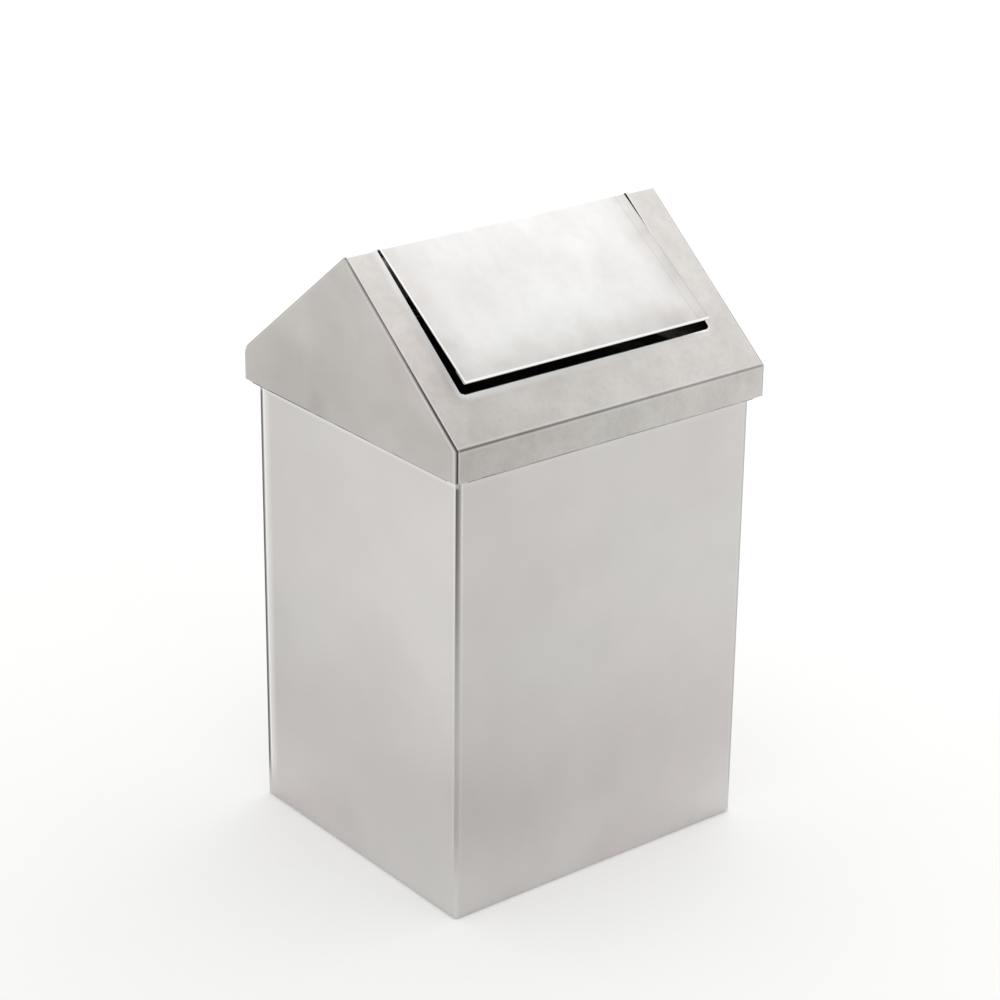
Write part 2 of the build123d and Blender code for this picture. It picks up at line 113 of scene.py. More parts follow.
# The roof's bends: front eave, ridge, back eave.
ROOF_SHADE = np.array([0.72, 0.0, 0.13])
ROOF_SHINE = np.array([0.0, 0.5, 0.0])
ROOF_LINE = 0.2
EAVE_FADE = 0.36  # its painted shade is this much weaker at the right end
BEND_REACH = 0.3 * MM
RAKE_SHADE = (0.38, 0.72)  # painted shade in the gables' joint with the roof, at the ridge and front eave
RAKE_BACK_SHADE = 0.13
RAKE_DARKENS = (0.35, 0.65)  # shares of the way down
RAKE_TURN = 6 * MM  # length over which it fades before the ridge
RAKE_DARK = (0.4, 0.7)  # shares of the bend's turn, which has a painted highlight, then painted shade
RAKE_BRIGHT = (0.3, 0.6)
RAKE_RIM = 0.985  # the panel has a painted highlight from this ring out
RAKE_SIDES = (1.0, 0.9)  # left and right
RAKE_SHINE = 0.35
SKIRT_SHADE = 0.57
SIDE_SKIRT_SHADE = (0.7, 0.9)  # front and back
UNDER_SKIRT_HIGHLIGHT = 5 * MM  # the body has a painted highlight this far below the skirt
UNDER_SKIRT_SHINE = (0.4, 0.07)  # on the sides, and on the front and back
FLAP_RIDGE_SHINE = 0.5
WINDOW_SIDE_SHINE = 0.9
GROUND_MATT = (1.0, 0.5)  # the window's ground edge, left and right
# The painted highlight on that ground edge, left and right.
GROUND_SHINE = (0.75, 0.25)
WINDOW_CUT = 0.12 * MM  # the window's cut sides carry painted shade this far in
WINDOW_CUT_SHADE = 0.8
FLAP_RIGHT_SHADE = 0.2
FLAP_CREASE = 6 * MM  # painted shade of a faint crease, in from the flap's right edge
FLAP_CREASE_SHADE = 0.12

# ---- Scale and depth of the steel's patterns ----
GROUND_METAL = 0.25  # how much of a ground edge still mirrors
GROUND_DULLING = 0.2
HUE_PATCH = 95 * MM
GRAIN = 0.9 * MM  # rolling grain, as fine as the render shows
GRAIN_STRETCH = (0.06, 1.0, 1.0)  # it runs along X
GRAIN_DEPTH = 0.004 * MM
GRAIN_DETAIL = 3.0
PATCH_WARP = 0.2
PATCH_RISE = (0.38, 0.68)  # values of the noise at 0 and at 1
WAVE = 24 * MM
WAVE_DEPTH = 0.03 * MM
# Painted shading: darker towards the hood's eave and left end, across the body's panels and low on the gables.
EAVE_UP = 15 * MM  # the hood's painted shade is strongest up to here over the skirt's lower edge
EAVE_RIGHT = 0.1  # its share at the right end
FRONT_SHADING = (0.7, 0.36)  # painted shade on the body's front and back, at their left and right
SIDE_SHADING = (0.0, 0.55)  # on its sides, at their front and back
FOOT_SHADING = 0.5  # share of it at the foot
FOOT_SHADING_RISE = (0.03, 0.25)
GABLE_SHADING = 0.85
GABLE_SHADING_IN = (-0.25, 0.55)  # shares of the half depth
GABLE_SHADING_OUT = (0.6, 0.9)
GABLE_SHADING_LOSS = 0.6
GABLE_SHADING_FADE = 30 * MM
BAND_HEIGHT = 52 * MM  # middle of the body's band of painted shade
BAND_TOP = 150 * MM
BAND_RIGHT = 0.45
# Grime and painted shade along the flap's edges:
GRIME_PATCH = 17 * MM
GRIME_LEAST = 0.55
RIDGE_GRIME = 0.3  # share of it at the ridge, on the left
WELD_REACH = 1.5  # in weld radii
WELD_DIMPLE = (0.35, 1.0)
WELD_HEAT = (0.7, 1.45)
LAP_HALF = 6 * MM  # half the strip behind the seam
LAP_AIR = 0.02 * MM

# ---- Shades that multiply a finish ----
COOL_CAST = linear("FAFBFA")
WARM_CAST = linear("FCFAFA")
CLOUD_SHADE = linear("E2E1E0")
SMUDGE_SHADE = linear("D4D1CF")
SPECK_SHADE = linear("DEDCDB")
# The tone of the painted shading, and the pale tone that painted highlights mix towards:
PAINTED_SHADING_TONE = linear("E5E4E3")
PAINTED_HIGHLIGHT_TONE = linear("F7F7F6")

# ---- Marks on the sheet: shade and dulling. The first four are painted shade, the fifth grime and painted shade ----
FOLD_SHADE_MARK = (linear("5A5856"), 0.12)
PANEL_SHADING_MARK = (PAINTED_SHADING_TONE, 0.02)
EAVE_SHADING_MARK = (PAINTED_SHADING_TONE, 0.05)
SHADE_BAND_MARK = (linear("F4F3F3"), 0.04)
GRIME_AND_SHADE_MARK = (linear("E7E5E3"), 0.08)
STRAW_MARK = (linear("E9DCC2"), 0.05)
WELD_MARK = (linear("C4C4CC"), 0.08)

# ---- Looks: roughness, then patches of size, stretch, shade, depth and dulling ----
ROUND = (1.0, 1.0, 1.0)
WIPED = (1.0, 0.5, 0.8)  # drawn out by a cloth
BODY_LOOK = (0.3, (80 * MM, ROUND, CLOUD_SHADE, 0.17, 0.04), (22 * MM, WIPED, SMUDGE_SHADE, 0.06, 0.04))
ROOF_LOOK = (
    0.38,
    (44 * MM, ROUND, CLOUD_SHADE, 0.35, 0.05),
    (13 * MM, WIPED, SMUDGE_SHADE, 0.16, 0.06),
    (4 * MM, ROUND, SPECK_SHADE, 0.15, 0.02),
    (1.2 * MM, ROUND, SPECK_SHADE, 0.17, 0.0),
)
GABLE_LOOK = (0.3, (60 * MM, ROUND, CLOUD_SHADE, 0.4, 0.04), (15 * MM, WIPED, SMUDGE_SHADE, 0.14, 0.05))
FLAP_LOOK = (
    0.3,
    (48 * MM, ROUND, CLOUD_SHADE, 0.2, 0.03),
    (15 * MM, WIPED, SMUDGE_SHADE, 0.12, 0.06),
    (5 * MM, ROUND, SPECK_SHADE, 0.08, 0.02),
)
MILL_LOOK = (0.3, (40 * MM, ROUND, CLOUD_SHADE, 0.7, 0.05), (9 * MM, ROUND, SMUDGE_SHADE, 0.5, 0.1))

# ---- Fittings: patch, what it mixes in and how, roughness out of it and in it, texture, and the rest ----
MOULD = (0.5 * MM, 2.0, 0.4, 0.02 * MM)  # a texture's size, detail, strength and depth
BRIGHT = (6 * MM, linear("DCDBDA"), "MULTIPLY", 0.22, 0.34, (GRAIN, GRAIN_DETAIL, 0.3, GRAIN_DEPTH), {"Metallic": 1.0})
NYLON = (3 * MM, linear("CFCBBC"), "MIX", 0.42, 0.52, MOULD, {"IOR": 1.53})
RUBBER = (3 * MM, linear("343434"), "MIX", 0.62, 0.72, MOULD, {"IOR": 1.52})

# ---- Studio ----
SOFTBOX_PLACE = (1.2, 0.5, 1.3)  # the roof mirrors its near edge, so the flap is brighter
FLOOR_TOP_UP = 0.24
WHITE = linear("FFFFFF")
PAPER_CLOUD = 400 * MM
PAPER_SHADE = linear("E0E0DF")


# ==== Sizes and colours that a user may change ====


def length(name, description, default, low=0.0):
    """A length shown in the scene's units."""
    return FloatProperty(name=name, description=description, default=default, min=low, unit="LENGTH", precision=5)


def angle(name, description, degrees):
    """An angle, kept in radians."""
    return FloatProperty(name=name, description=description, default=math.radians(degrees), subtype="ANGLE")


def colour(name, description, code):
    """A colour given by its sRGB hex code."""
    return FloatVectorProperty(
        name=name, description=description, default=linear(code), size=4, subtype="COLOR", min=0.0, max=1.0
    )


class BinSheetSizes(bpy.types.PropertyGroup):
    """Sheet and folds of the bin, hood and flap."""

    sheet: length("Sheet", "Thickness of the sheet", 0.6 * MM)
    hem_radius: length("Hem radius", "Radius of a hem's round fold", 0.65 * MM)
    body_bend: length("Body bend", "Radius of the body's upright bends", 2 * MM)
    rim_hem: length("Rim hem", "Depth of the hem inside the rim", 6 * MM)
    seam_place: length("Seam", "Back seam's distance from the middle", 5.7 * MM)
    seam_gap: length("Seam gap", "Hairline between the edges of the wrap", 0.3 * MM)
    skirt: length("Skirt", "Height of the hood's skirt", 16 * MM)
    skirt_hem: length("Skirt hem", "Height of the hem inside the skirt", 5 * MM)
    skirt_hem_end: length("Skirt hem end", "The hem stops this far from the corners", 7 * MM)
    front_eave: length("Front eave", "Radius of the front eave", 1.2 * MM)
    back_eave: length("Back eave", "Radius of the back eave", 6 * MM)
    ridge: length("Ridge", "Radius of both ridges", 1.2 * MM)
    gable_bend: length("Gable bend", "Radius of the bend round each gable", 1.1 * MM)
    gable_corner: length("Gable corner", "Corner radius of the gable's panel", 1.7 * MM)
    gable_flange: length("Gable flange", "Depth of the flange round each gable", 6.6 * MM)
    window_corner: length("Window corner", "Radius of the window's lower corners", 1.6 * MM)
    window_hem: length("Window hem", "Depth of the hem under its lower edge", 6 * MM)
    flap_gap: length("Flap gap", "Air at each side of the flap", 1.4 * MM)
    flap_shortfall: length("Flap shortfall", "How much shorter a wing is than the window", 2.2 * MM)
    flap_hem: length("Flap hem", "Depth of the hem under the free edges", 7 * MM)
    body_spring: length("Body spring", "How far the middle of a body panel stands out", 0.35 * MM)
    gable_dish: length("Gable dish", "How far the middle of a gable lies in", 0.3 * MM)
    flap_crown: length("Flap crown", "How far the middle of a wing stands out", 0.25 * MM)
    weld_pitch: length("Weld pitch", "Spacing of the spot welds", 26 * MM)
    weld_radius: length("Weld radius", "Radius of a spot weld's dimple", 2.3 * MM)
    weld_depth: length("Weld depth", "Depth of a spot weld's dimple", 0.12 * MM)


class BinColours(bpy.types.PropertyGroup):
    """Colours of the bin's finishes."""

    body: colour("Body", "Stainless of the body", "DCD9D8")
    hood: colour("Hood", "Stainless of the roof", "D8D5D2")
    gable: colour("Gables", "Stainless of the gables", "CDC9C6")
    flap: colour("Flap", "Stainless of the flap", "D3D2D1")
    inner: colour("Inner steel", "Steel of the rails, brackets and pan", "B1AFAC")
    bright: colour("Bright steel", "Steel of the axle, clips and rivets", "CDCDCD")
    nylon: colour("Nylon", "Nylon of the bushes and spacers", "DCDACF")
    rubber: colour("Rubber", "Rubber of the feet", "262626")
    floor: colour("Floor", "Floor of the studio", "E2E2E1")


class BinStudio(bpy.types.PropertyGroup):
    """Camera, lamps and floor."""

    camera_azimuth: angle("Azimuth", "Camera's turn round the bin", -38.589)
    camera_elevation: angle("Elevation", "Camera's height above the horizon", 23.04)
    camera_roll: angle("Roll", "Camera's turn about its own line of sight", 0.663)
    camera_distance: length("Distance", "Camera to the point it looks at", 1371.15 * MM)
    camera_height: length("Look-at height", "Height of the point the camera looks at", 163.39 * MM)
    camera_aside: length("Look-at place", "Place of that point along the ridge", -0.83 * MM, -1.0)
    camera_lens: FloatProperty(name="Lens", description="Focal length in mm", default=103.716, min=1.0)
    sky: FloatProperty(name="Sky", description="Brightness of the studio's walls", default=0.95, min=0.0)
    softbox: FloatProperty(name="Softbox", description="Watts of the overhead softbox", default=4.9, min=0.0)
    softbox_size: length("Softbox size", "Side of the overhead softbox", 1400 * MM)
    floor_radius: length("Floor radius", "Radius of the floor", 3000 * MM)


class BinSettings(bpy.types.PropertyGroup):
    """All settings of the bin."""

    sizes: PointerProperty(type=BinSheetSizes)
    colours: PointerProperty(type=BinColours)
    studio: PointerProperty(type=BinStudio)


# ==== Sheet as numpy surfaces ====


class Section:
    """A line of straight runs joined by round bends, in a plane, read by the length along it.

    Each bend of angle a and radius r starts r*tan(a/2) before its corner and is r*a long.
    Along the line, the outside of the sheet is on the left.
    """

    def __init__(self, corners, radii):
        corners = np.asarray(corners, float)
        runs = np.diff(corners, axis=0)
        lengths = np.linalg.norm(runs, axis=1)
        headings = np.arctan2(runs[:, 1], runs[:, 0])
        turns = np.mod(np.diff(headings) + np.pi, 2 * np.pi) - np.pi
        radii = np.asarray(radii, float)
        trims = radii * np.tan(np.abs(turns) / 2)
        arcs = radii * np.abs(turns)
        before = np.r_[0.0, trims]
        after = np.r_[trims, 0.0]
        straights = lengths - before - after
        self.run_starts = np.r_[0.0, np.cumsum(straights[:-1] + arcs)]
        self.bend_starts = self.run_starts[:-1] + straights[:-1]
        self.length = self.run_starts[-1] + straights[-1]
        self.arcs, self.turns, self.headings = arcs, turns, headings
        self.origins = corners[:-1] + before[:, None] * runs / lengths[:, None]
        self.bend_origins = corners[1:-1] - trims[:, None] * runs[:-1] / lengths[:-1, None]

    def at(self, along):
        """At each length: the point, the outward direction, the nearest bend, and how far past its middle."""
        along = np.asarray(along, float)
        run = np.clip(np.searchsorted(self.run_starts, along + TOUCH / 2, side="right") - 1, 0, None)
        gone = along - self.run_starts[run]
        heading = self.headings[run]
        point = self.origins[run] + gone[..., None] * np.stack((np.cos(heading), np.sin(heading)), -1)
        for start, arc, turn, first, origin in zip(
            self.bend_starts, self.arcs, self.turns, self.headings, self.bend_origins
        ):
            inside = (along > start) & (along < start + arc)
            angle = first + turn * (along - start) / arc
            bent = np.stack((np.sin(angle) - np.sin(first), np.cos(first) - np.cos(angle)), -1) * arc / turn + origin
            point = np.where(inside[..., None], bent, point)
            heading = np.where(inside, angle, heading)
        outward = np.stack((-np.sin(heading), np.cos(heading)), -1)
        past = along[..., None] - self.bend_starts - self.arcs / 2
        bend = np.argmin(np.abs(past) - self.arcs / 2, axis=-1)
        return point, outward, bend, np.take_along_axis(past, bend[..., None], -1)[..., 0]

    def stations(self, extra=()):
        """Lengths to sample at: round each bend, beside it, at `extra`, and evenly down each run."""
        starts, ends = self.bend_starts[:, None], (self.bend_starts + self.arcs)[:, None]
        share = np.linspace(0, 1, ROUND_STEPS + 1)
        stops = np.concatenate((starts + share * (ends - starts), starts - BESIDE, ends + BESIDE), axis=1)
        return spread(0, self.length, PANEL_CELL, np.r_[stops.ravel(), extra])


def bend_marks(past, half, reach, lean, painted_shade, line, shine=0.0):
    """Marks round a bend, from the distance past its middle.

    The fold mark is painted shade over it and `reach` beyond; the highlight mark is a painted highlight beside it, or
    over a bright bend.
    """
    across = past / (half + reach) - lean
    over = 1 - np.clip(np.abs(across) / (1 + np.where(across > 0, -lean, lean)), 0, 1) ** SHADE_FALL
    beyond = np.abs(past) - half - reach
    beside = ramp(beyond, -0.4 * reach - TOUCH, TOUCH) * (1 - ramp(beyond, 0.1 * BEND_HIGHLIGHT_WIDTH, BEND_HIGHLIGHT_WIDTH))
    bright = 1 - ramp(beyond, -reach - TOUCH, 0)
    return {"fold": painted_shade * over, "burnish": np.maximum(shine * bright, painted_shade * line * beside)}


def distinct(values):
    """Sorted values, with those nearer than a touch made one."""
    values = np.sort(values)
    return values[np.r_[True, np.diff(values) > TOUCH]]


def spread(low, high, spacing, extra=()):
    """Evenly spaced values from low to high that also stop at each value of `extra`."""
    stops = distinct(np.r_[low, high, np.asarray(extra, float)])
    runs = [np.linspace(a, b, max(2, round((b - a) / spacing) + 1)) for a, b in zip(stops[:-1], stops[1:])]
    return distinct(np.concatenate(runs))


def points_at(x, y, z):
    """Points from three coordinates, each a number or an array."""
    return np.stack(np.broadcast_arrays(x, y, z), axis=-1)


def patch(points, outward, keep=None, **marks):
    """One grid of a sheet: points, the way its first cell faces, the cells to keep, and marks per point."""
    return {"points": points, "outward": np.asarray(outward, float), "keep": keep, "marks": marks}


def cells(grid, first):
    """Corner numbers of the grid's kept cells, wound to face the way the grid says."""
    rows, cols = grid["points"].shape[:2]
    number = first + np.arange(rows * cols).reshape(rows, cols)
    quads = np.stack((number[:-1, :-1], number[1:, :-1], number[1:, 1:], number[:-1, 1:]), axis=-1)
    points = grid["points"].reshape(-1, 3)
    corner = points[quads[0, 0] - first]
    quads = quads[grid["keep"]] if grid["keep"] is not None else quads.reshape(-1, 4)
    if np.dot(np.cross(corner[2] - corner[0], corner[3] - corner[1]), grid["outward"]) < 0:
        quads = quads[:, ::-1]
    return quads


def sheet_mesh(name, patches):
    """A mesh of all the grids, welded where they meet, with each mark as a point attribute."""
    firsts = np.cumsum([0] + [p["points"].shape[0] * p["points"].shape[1] for p in patches])
    points = np.concatenate([p["points"].reshape(-1, 3) for p in patches])
    quads = np.concatenate([cells(p, first) for p, first in zip(patches, firsts)])
    used, quads = np.unique(quads, return_inverse=True)
    quads = quads.reshape(-1, 4)
    mesh = bpy.data.meshes.new(name)
    mesh.vertices.add(len(used))
    mesh.vertices.foreach_set("co", points[used].astype(np.float32).ravel())
    mesh.loops.add(quads.size)
    mesh.loops.foreach_set("vertex_index", quads.astype(np.int32).ravel())
    mesh.polygons.add(len(quads))
    mesh.polygons.foreach_set("loop_start", np.arange(0, quads.size, 4, dtype=np.int32))
    mesh.update(calc_edges=True)
    for mark in sorted({m for p in patches for m in p["marks"]}):
        values = [np.broadcast_to(p["marks"].get(mark, 0.0), p["points"].shape[:2]).ravel() for p in patches]
        attribute = mesh.attributes.new(mark, "FLOAT", "POINT")
        attribute.data.foreach_set("value", np.concatenate(values)[used].astype(np.float32))
    welded = bmesh.new()
    welded.from_mesh(mesh)
    bmesh.ops.remove_doubles(welded, verts=welded.verts, dist=TOUCH)
    bmesh.ops.dissolve_degenerate(welded, edges=welded.edges, dist=TOUCH)
    welded.to_mesh(mesh)
    welded.free()
    return mesh


def make_sheet(name, patches, thickness, body, slot, material, *replaced):
    """The welded grids with their thickness inwards and eased cut edges, in place of CAD nodes."""
    piece = bpy.data.objects.new(name, sheet_mesh(name, patches))
    bpy.context.scene.collection.objects.link(piece)
    solid = piece.modifiers.new("thickness", "SOLIDIFY")
    solid.thickness = thickness
    solid.offset = -1
    solid.use_even_offset = True
    ease = piece.modifiers.new("eased edges", "BEVEL")
    ease.width = CUT_EDGE
    ease.segments = 2
    ease.limit_method = "ANGLE"
    ease.angle_limit = CUT_ANGLE
    bpy.context.view_layer.update()
    view = bpy.context.evaluated_depsgraph_get()
    made = bpy.data.meshes.new_from_object(piece.evaluated_get(view), preserve_all_data_layers=True, depsgraph=view)
    piece.modifiers.clear()
    piece.data = made
    made.name = name
    made.shade_smooth()
    made.set_sharp_from_angle(angle=CUT_ANGLE)
    made.materials.append(material)
    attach(piece, body)
    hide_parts(*replaced)
    return piece


def hem(edge, onward, outward, radius, leg, painted_shade=0.0, shine=0.0):
    """A sheet's edge folded back under it, as a grid.

    The fold is a half circle: edge + onward*r*sin(a) - outward*r*(1 - cos(a)) for a from 0 to 180 degrees.
    The leg then runs back, 2r below the sheet.
    """
    onward, outward = np.broadcast_to(onward, edge.shape), np.broadcast_to(outward, edge.shape)
    angle = np.linspace(0, np.pi, ROUND_STEPS + 1)[:, None, None]
    fold = edge + onward * radius * np.sin(angle) - outward * radius * (1 - np.cos(angle))
    back = np.linspace(0, leg, LEG_ROWS + 1)[1:, None, None]
    run = edge - onward * back - 2 * radius * outward
    # Painted shade and painted highlight over the fold.
    over = np.r_[np.ones(len(fold)), np.zeros(len(run))][:, None]
    return patch(np.concatenate((fold, run)), outward[0], fold=painted_shade * over, burnish=shine * over)


def swell(across, up, height):
    """A panel's spring: height*(1 - across^2)*(1 - up^2), with across and up from -1 to 1."""
    return height * np.clip(1 - across**2, 0, 1) * np.clip(1 - up**2, 0, 1)


def ramp(values, low, high):
    """0 below low and 1 above high, with a smooth rise between: 3t^2 - 2t^3."""
    t = np.clip((values - low) / (high - low), 0, 1)
    return t * t * (3 - 2 * t)


# ==== Finishes ====


def add_node(tree, kind, inputs, output=0, **settings):
    """Adds one shader node and gives one of its outputs.

    `inputs` holds, by name or number, a value or the output that feeds it. `settings` are the node's own.
    """
    node = tree.nodes.new("ShaderNode" + kind)
    for name, value in settings.items():
        setattr(node, name, value)
    for place, value in inputs.items():
        if isinstance(value, bpy.types.NodeSocket):
            tree.links.new(value, node.inputs[place])
        else:
            node.inputs[place].default_value = value
    return node.outputs[output] if node.outputs else None


MIXED = {"data_type": "RGBA"}
SHADED = {"data_type": "RGBA", "blend_type": "MULTIPLY"}


def new_material(name):
    """An empty node material, the call that adds a node to it, and the place on the object."""
    material = bpy.data.materials.new(name)
    material.use_nodes = True
    material.node_tree.nodes.clear()
    add = partial(add_node, material.node_tree)
    return material, add, add("TexCoord", {}, "Object")


def patches_of(add, where, size, stretch=ROUND):
    """Soft patches about `size` across, from 0 to 1."""
    place = add("Mapping", {"Vector": where, "Scale": stretch})
    noise = {"Vector": place, "Scale": 1 / size, "Detail": GRAIN_DETAIL, "Distortion": PATCH_WARP}
    rise = {"Value": add("TexNoise", noise), "From Min": PATCH_RISE[0], "From Max": PATCH_RISE[1]}
    return add("MapRange", rise, interpolation_type="SMOOTHSTEP")


def bare_steel(name, base, look, *marks):
    """Cold-rolled stainless sheet, 2B finish: a soft grey mirror, cloudy from the rolls and from being handled.

    Each of `marks` gives (amount, shade, dulling). By the amount, the colour is multiplied by the shade and the
    dulling is added to the roughness.
    """
    rough, *patches = look
    material, add, where = new_material(name)
    # The hue drifts between a green-grey and a pink-grey.
    drift = patches_of(add, where, HUE_PATCH)
    tone = add("Mix", {0: drift, 6: COOL_CAST, 7: WARM_CAST}, 2, **MIXED)
    tone = add("Mix", {0: 1.0, 6: base, 7: tone}, 2, **SHADED)
    layers = []
    for size, stretch, shade, depth, dulling in patches:
        amount = add("Math", {0: patches_of(add, where, size, stretch), 1: depth}, operation="MULTIPLY")
        layers.append((amount, shade, dulling))
    # The fold mark comes last: painted shade over bends, joints and cut edges.
    layers += [mark(add, where) for mark in (*marks, painted_fold_shade)]
    for amount, shade, dulling in layers:
        tone = add("Mix", {0: amount, 6: tone, 7: shade}, 2, **SHADED)
        rough = add("Math", {0: amount, 1: dulling, 2: rough}, operation="MULTIPLY_ADD")
    # A ground edge scatters light where the rest mirrors.
    ground = add("Attribute", {}, "Fac", attribute_name="deburred")
    metal = add("MapRange", {"Value": ground, "To Min": 1.0, "To Max": GROUND_METAL})
    rough = add("Math", {0: ground, 1: GROUND_DULLING, 2: rough}, operation="MULTIPLY_ADD")
    # Painted highlights: the sheet's highlight mark mixes the colour towards a pale tone.
    burnish = add("Attribute", {}, "Fac", attribute_name="burnish")
    tone = add("Mix", {0: burnish, 6: tone, 7: PAINTED_HIGHLIGHT_TONE}, 2, **MIXED)
    along = add("Mapping", {"Vector": where, "Scale": GRAIN_STRETCH})
    grain = add("TexNoise", {"Vector": along, "Scale": 1 / GRAIN, "Detail": GRAIN_DETAIL})
    wave = add("TexNoise", {"Vector": where, "Scale": 1 / WAVE, "Detail": 1.0})
    fine = add("Bump", {"Height": grain, "Strength": 0.25, "Distance": GRAIN_DEPTH})
    bumps = add("Bump", {"Height": wave, "Strength": 1.0, "Distance": WAVE_DEPTH, "Normal": fine})
    inputs = {"Base Color": tone, "Metallic": metal, "Roughness": rough, "Normal": bumps}
    add("OutputMaterial", {"Surface": add("BsdfPrincipled", inputs)})
    return material


def sheet_mark(attribute, mark, low, high, add, where):
    """A mark that grows as the sheet's own attribute goes from low to high."""
    amount = add("Attribute", {}, "Fac", attribute_name=attribute)
    return add("MapRange", {"Value": amount, "From Min": low, "From Max": high}), *mark


painted_fold_shade = partial(sheet_mark, "fold", FOLD_SHADE_MARK, 0.0, 1.0)  # painted shade over bends, joints and cut edges
panel_painted_shading = partial(sheet_mark, "film", PANEL_SHADING_MARK, 0.0, 1.0)  # painted shading across the panels
heat_ring = partial(sheet_mark, "weld", STRAW_MARK, 0.0, 0.5)  # straw colour round a spot weld
weld_print = partial(sheet_mark, "weld", WELD_MARK, 0.6, 1.0)  # of the electrode, in its middle


def fade(add, where, axis, start, end, low=0.0, high=1.0, kind="LINEAR"):
    """A value that goes from low to high between two places on an axis."""
    place = add("SeparateXYZ", {"Vector": where}, axis)
    ends = {"Value": place, "From Min": start, "From Max": end, "To Min": low, "To Max": high}
    return add("MapRange", ends, interpolation_type=kind)


def eave_painted_shading(add, where):
    """Painted shade that deepens towards the eave and the left end, with a little added roughness."""
    down = fade(add, where, "Z", ROOF_HIGH.z, ROOF_LOW.z + EAVE_UP)
    left = fade(add, where, "X", ROOF_HIGH.x, ROOF_LOW.x, EAVE_RIGHT)
    return add("Math", {0: down, 1: left}, operation="MULTIPLY"), *EAVE_SHADING_MARK


def painted_foot_shade(add, where):
    """A band of painted shade low on the body, weaker to the right, with a little added roughness."""
    rise = fade(add, where, "Z", 0.0, BAND_HEIGHT, kind="SMOOTHSTEP")
    fall = fade(add, where, "Z", BAND_HEIGHT, BAND_TOP, 1.0, 0.0, "SMOOTHSTEP")
    band = add("Math", {0: rise, 1: fall}, operation="MULTIPLY")
    side = fade(add, where, "X", BODY_LOW.x, BODY_HIGH.x, 1.0, BAND_RIGHT)
    return add("Math", {0: band, 1: side}, operation="MULTIPLY"), *SHADE_BAND_MARK


def grimy_shaded_edges(add, where):
    """Grime and painted shade along the flap's free edges, in uneven patches."""
    near = add("Attribute", {}, "Fac", attribute_name="handling")
    uneven = {"Value": patches_of(add, where, GRIME_PATCH), "To Min": GRIME_LEAST}
    return add("Math", {0: near, 1: add("MapRange", uneven)}, operation="MULTIPLY"), *GRIME_AND_SHADE_MARK


def fitting(name, base, look):
    """Drawn steel, nylon or rubber of the fittings: an even colour in soft patches, with a fine texture."""
    patch_size, shade, blend, clean, dull, (size, detail, strength, depth), rest = look
    material, add, where = new_material(name)
    cloud = patches_of(add, where, patch_size)
    tone = add("Mix", {0: cloud, 6: base, 7: shade}, 2, data_type="RGBA", blend_type=blend)
    rough = add("MapRange", {"Value": cloud, "To Min": clean, "To Max": dull})
    texture = add("TexNoise", {"Vector": where, "Scale": 1 / size, "Detail": detail})
    bump = add("Bump", {"Height": texture, "Strength": strength, "Distance": depth})
    inputs = {"Base Color": tone, "Roughness": rough, "Normal": bump, **rest}
    add("OutputMaterial", {"Surface": add("BsdfPrincipled", inputs)})
    return material


def dress(material, *stems):
    """Gives the CAD nodes whose names begin with any of these a finish."""
    for name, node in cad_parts.items():
        if name.startswith(stems):
            node.data.materials.clear()
            node.data.materials.append(material)


# ==== Body ====


